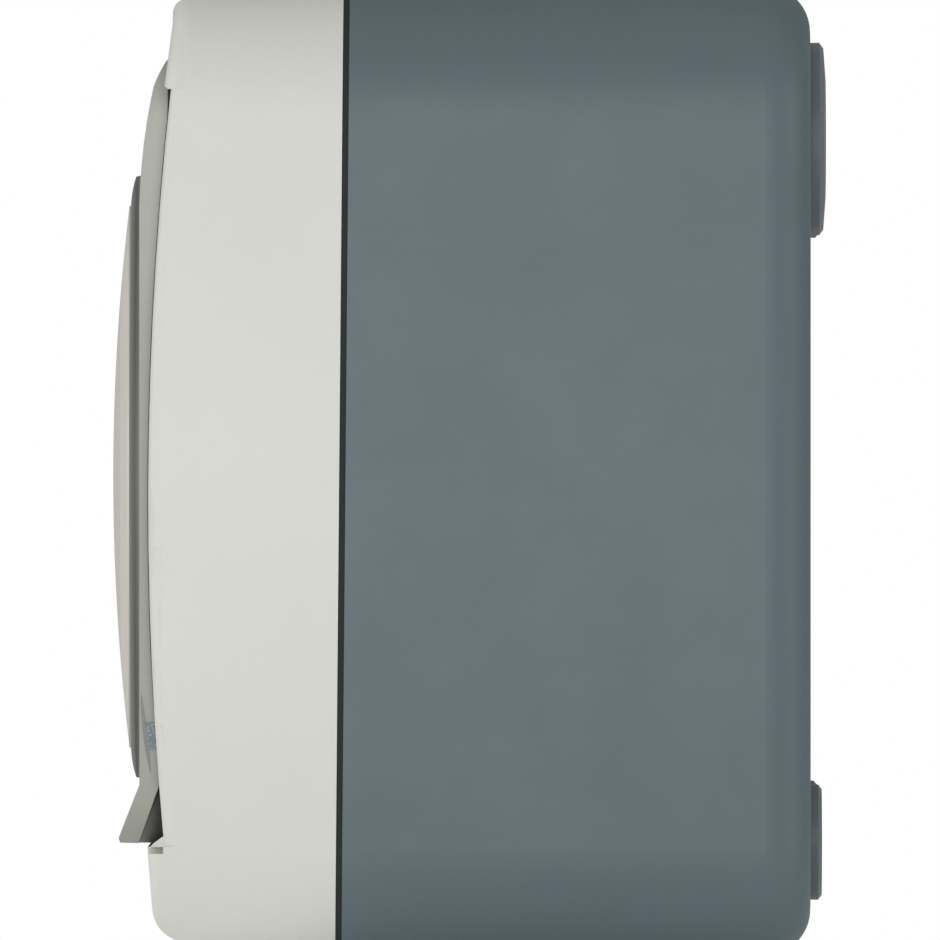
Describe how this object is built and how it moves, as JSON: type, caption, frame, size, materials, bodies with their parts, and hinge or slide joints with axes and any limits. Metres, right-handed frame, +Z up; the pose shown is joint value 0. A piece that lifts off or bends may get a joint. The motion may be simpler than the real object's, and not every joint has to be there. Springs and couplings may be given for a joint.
{
  "type": "punch time clock",
  "caption": "Wall or desk punch time clock: rounded two-part case, bowed front cover, hinged lid with domed round window over a dial, card slot on top.",
  "frame": {"origin": "on the surface the feet stand on, under the middle of the clock", "axes": "+Z up, -Y towards the user (the lid side), +Y towards the wall, +X towards the user's right"},
  "size_m": [0.178, 0.1573, 0.2156],
  "materials": {
    "cover_plastic": "fine moulded texture",
    "housing_plastic": "fine moulded texture",
    "lid_plastic": "fine moulded texture",
    "bezel_plastic": "satin",
    "dome_plastic": "satin",
    "clear_lens": "clear",
    "grip_rubber": "matt",
    "gasket_rubber": "matt",
    "boss_plastic": "satin",
    "foot_rubber": "matt",
    "dial_white": "printed",
    "black_plastic": "satin",
    "display_glass": "smooth",
    "key_grey": "satin",
    "key_green": "satin",
    "key_red": "satin",
    "steel": "ground",
    "zinc_sheet": "zinc plated",
    "chrome_lock": "polished",
    "hand_black": "satin black",
    "white_acetal": "moulded",
    "roller_rubber": "ground",
    "motor_can": "satin black",
    "ribbon_ink": "inked nylon",
    "circuit_board": "solder mask",
    "brass": "turned"
  },
  "bodies": {
    "case": {"rear_housing": "housing_plastic", "seam_gasket": "gasket_rubber", "hanger_bosses": "boss_plastic", "wall_bumpers": "boss_plastic", "rear_feet": "foot_rubber", "lock_keeper": "zinc_sheet", "chute_front": "zinc_sheet", "chute_rear": "zinc_sheet", "side_plates": "zinc_sheet", "chassis_tray": "zinc_sheet", "guide_rods": "steel", "ribbon_shell": "black_plastic", "ribbon": "ribbon_ink", "platen_bar": "roller_rubber", "feed_motor": "motor_can", "carriage_motor": "motor_can", "idler_bracket": "zinc_sheet", "carriage_belt": "roller_rubber", "main_board": "circuit_board", "board_pillars": "brass", "board_screws": "steel", "logic_chips": "black_plastic", "capacitors": "motor_can", "power_transformer": "motor_can", "power_inlet": "black_plastic"},
    "cover": {"front_cover": "cover_plastic", "front_feet": "foot_rubber", "hinge_pin": "steel", "dial_plate": "dial_white", "movement_case": "black_plastic", "display_module": "black_plastic", "display_glass": "display_glass", "key_board": "circuit_board", "lock_body": "chrome_lock", "card_throat": "black_plastic"},
    "lid": {"lid_shell": "lid_plastic", "lip_grip": "grip_rubber", "bezel_ring": "bezel_plastic", "dome_ring": "dome_plastic", "lens": "clear_lens"},
    "hour": {"hour_hand": "hand_black"},
    "minute": {"minute_hand": "hand_black"},
    "in_key_body": {"in_key": "key_green"},
    "out_key_body": {"out_key": "key_red"},
    "menu_key_body": {"menu_key": "key_grey"},
    "enter_key_body": {"enter_key": "key_grey"},
    "lock": {"lock_core": "chrome_lock", "lock_cam": "zinc_sheet"},
    "feed": {"feed_shaft": "steel", "feed_rollers": "roller_rubber", "feed_gear": "white_acetal"},
    "feed_motor_rotor": {"feed_pinion": "brass"},
    "pressure": {"pressure_shaft": "steel", "pressure_rollers": "roller_rubber"},
    "head": {"carriage": "white_acetal", "print_head": "black_plastic"},
    "carriage_motor_rotor": {"drive_pulley": "brass"},
    "idler": {"idler_pulley": "white_acetal"},
    "supply": {"supply_spool": "white_acetal"},
    "take_up": {"take_up_spool": "white_acetal"}
  },
  "joints": [
    {"name": "cover_pull", "type": "slide", "parent": "case", "child": "cover", "axis": [0, -1, 0], "range_m": [0, 0.05]},
    {"name": "lid_hinge", "type": "hinge", "parent": "cover", "child": "lid", "pos_m": [0, -0.0655, 0.1962], "axis": [-1, 0, 0], "range_deg": [0, 100]},
    {"name": "minute_turn", "type": "hinge", "parent": "cover", "child": "minute", "pos_m": [0, -0.062, 0.1076], "axis": [0, 1, 0], "continuous": true},
    {"name": "hour_turn", "type": "hinge", "parent": "cover", "child": "hour", "pos_m": [0, -0.0605, 0.1076], "axis": [0, 1, 0], "continuous": true},
    {"name": "lock_turn", "type": "hinge", "parent": "cover", "child": "lock", "pos_m": [-0.08, -0.042, 0.06], "axis": [-1, 0, 0], "range_deg": [0, 90]},
    {"name": "feed_turn", "type": "hinge", "parent": "case", "child": "feed", "pos_m": [0, -0.0306, 0.14], "axis": [1, 0, 0], "continuous": true},
    {"name": "feed_motor_turn", "type": "hinge", "parent": "case", "child": "feed_motor_rotor", "pos_m": [0.068, -0.0106, 0.14], "axis": [1, 0, 0], "continuous": true},
    {"name": "pressure_turn", "type": "hinge", "parent": "case", "child": "pressure", "pos_m": [0, -0.0455, 0.14], "axis": [1, 0, 0], "continuous": true},
    {"name": "head_slide", "type": "slide", "parent": "case", "child": "head", "axis": [1, 0, 0], "range_m": [-0.025, 0.025]},
    {"name": "carriage_motor_turn", "type": "hinge", "parent": "case", "child": "carriage_motor_rotor", "pos_m": [0.048, 0.004, 0.064], "axis": [0, 0, 1], "range_deg": [-225, 225]},
    {"name": "idler_turn", "type": "hinge", "parent": "case", "child": "idler", "pos_m": [-0.048, 0.004, 0.064], "axis": [0, 0, 1], "range_deg": [-225, 225]},
    {"name": "take_up_turn", "type": "hinge", "parent": "case", "child": "take_up", "pos_m": [0.028, -0.008, 0.094], "axis": [0, 0, 1], "continuous": true},
    {"name": "supply_turn", "type": "hinge", "parent": "case", "child": "supply", "pos_m": [-0.028, -0.008, 0.094], "axis": [0, 0, 1], "continuous": true},
    {"name": "in_press", "type": "slide", "parent": "cover", "child": "in_key_body", "axis": [0, 1, 0], "range_m": [0, 0.0015], "stiffness_N_per_m": 400, "springref_m": -0.001},
    {"name": "out_press", "type": "slide", "parent": "cover", "child": "out_key_body", "axis": [0, 1, 0], "range_m": [0, 0.0015], "stiffness_N_per_m": 400, "springref_m": -0.001},
    {"name": "menu_press", "type": "slide", "parent": "cover", "child": "menu_key_body", "axis": [0, 1, 0], "range_m": [0, 0.0015], "stiffness_N_per_m": 400, "springref_m": -0.001},
    {"name": "enter_press", "type": "slide", "parent": "cover", "child": "enter_key_body", "axis": [0, 1, 0], "range_m": [0, 0.0015], "stiffness_N_per_m": 400, "springref_m": -0.001}
  ],
  "couplings": [
    {"joint": "hour_turn", "follows": "minute_turn", "ratio": 0.083333},
    {"joint": "feed_motor_turn", "follows": "feed_turn", "ratio": -2.3333},
    {"joint": "pressure_turn", "follows": "feed_turn", "ratio": -1.2121},
    {"joint": "carriage_motor_turn", "follows": "head_slide", "rad_per_m": 151.52},
    {"joint": "idler_turn", "follows": "head_slide", "rad_per_m": 151.52},
    {"joint": "supply_turn", "follows": "take_up_turn", "ratio": 1}
  ]
}
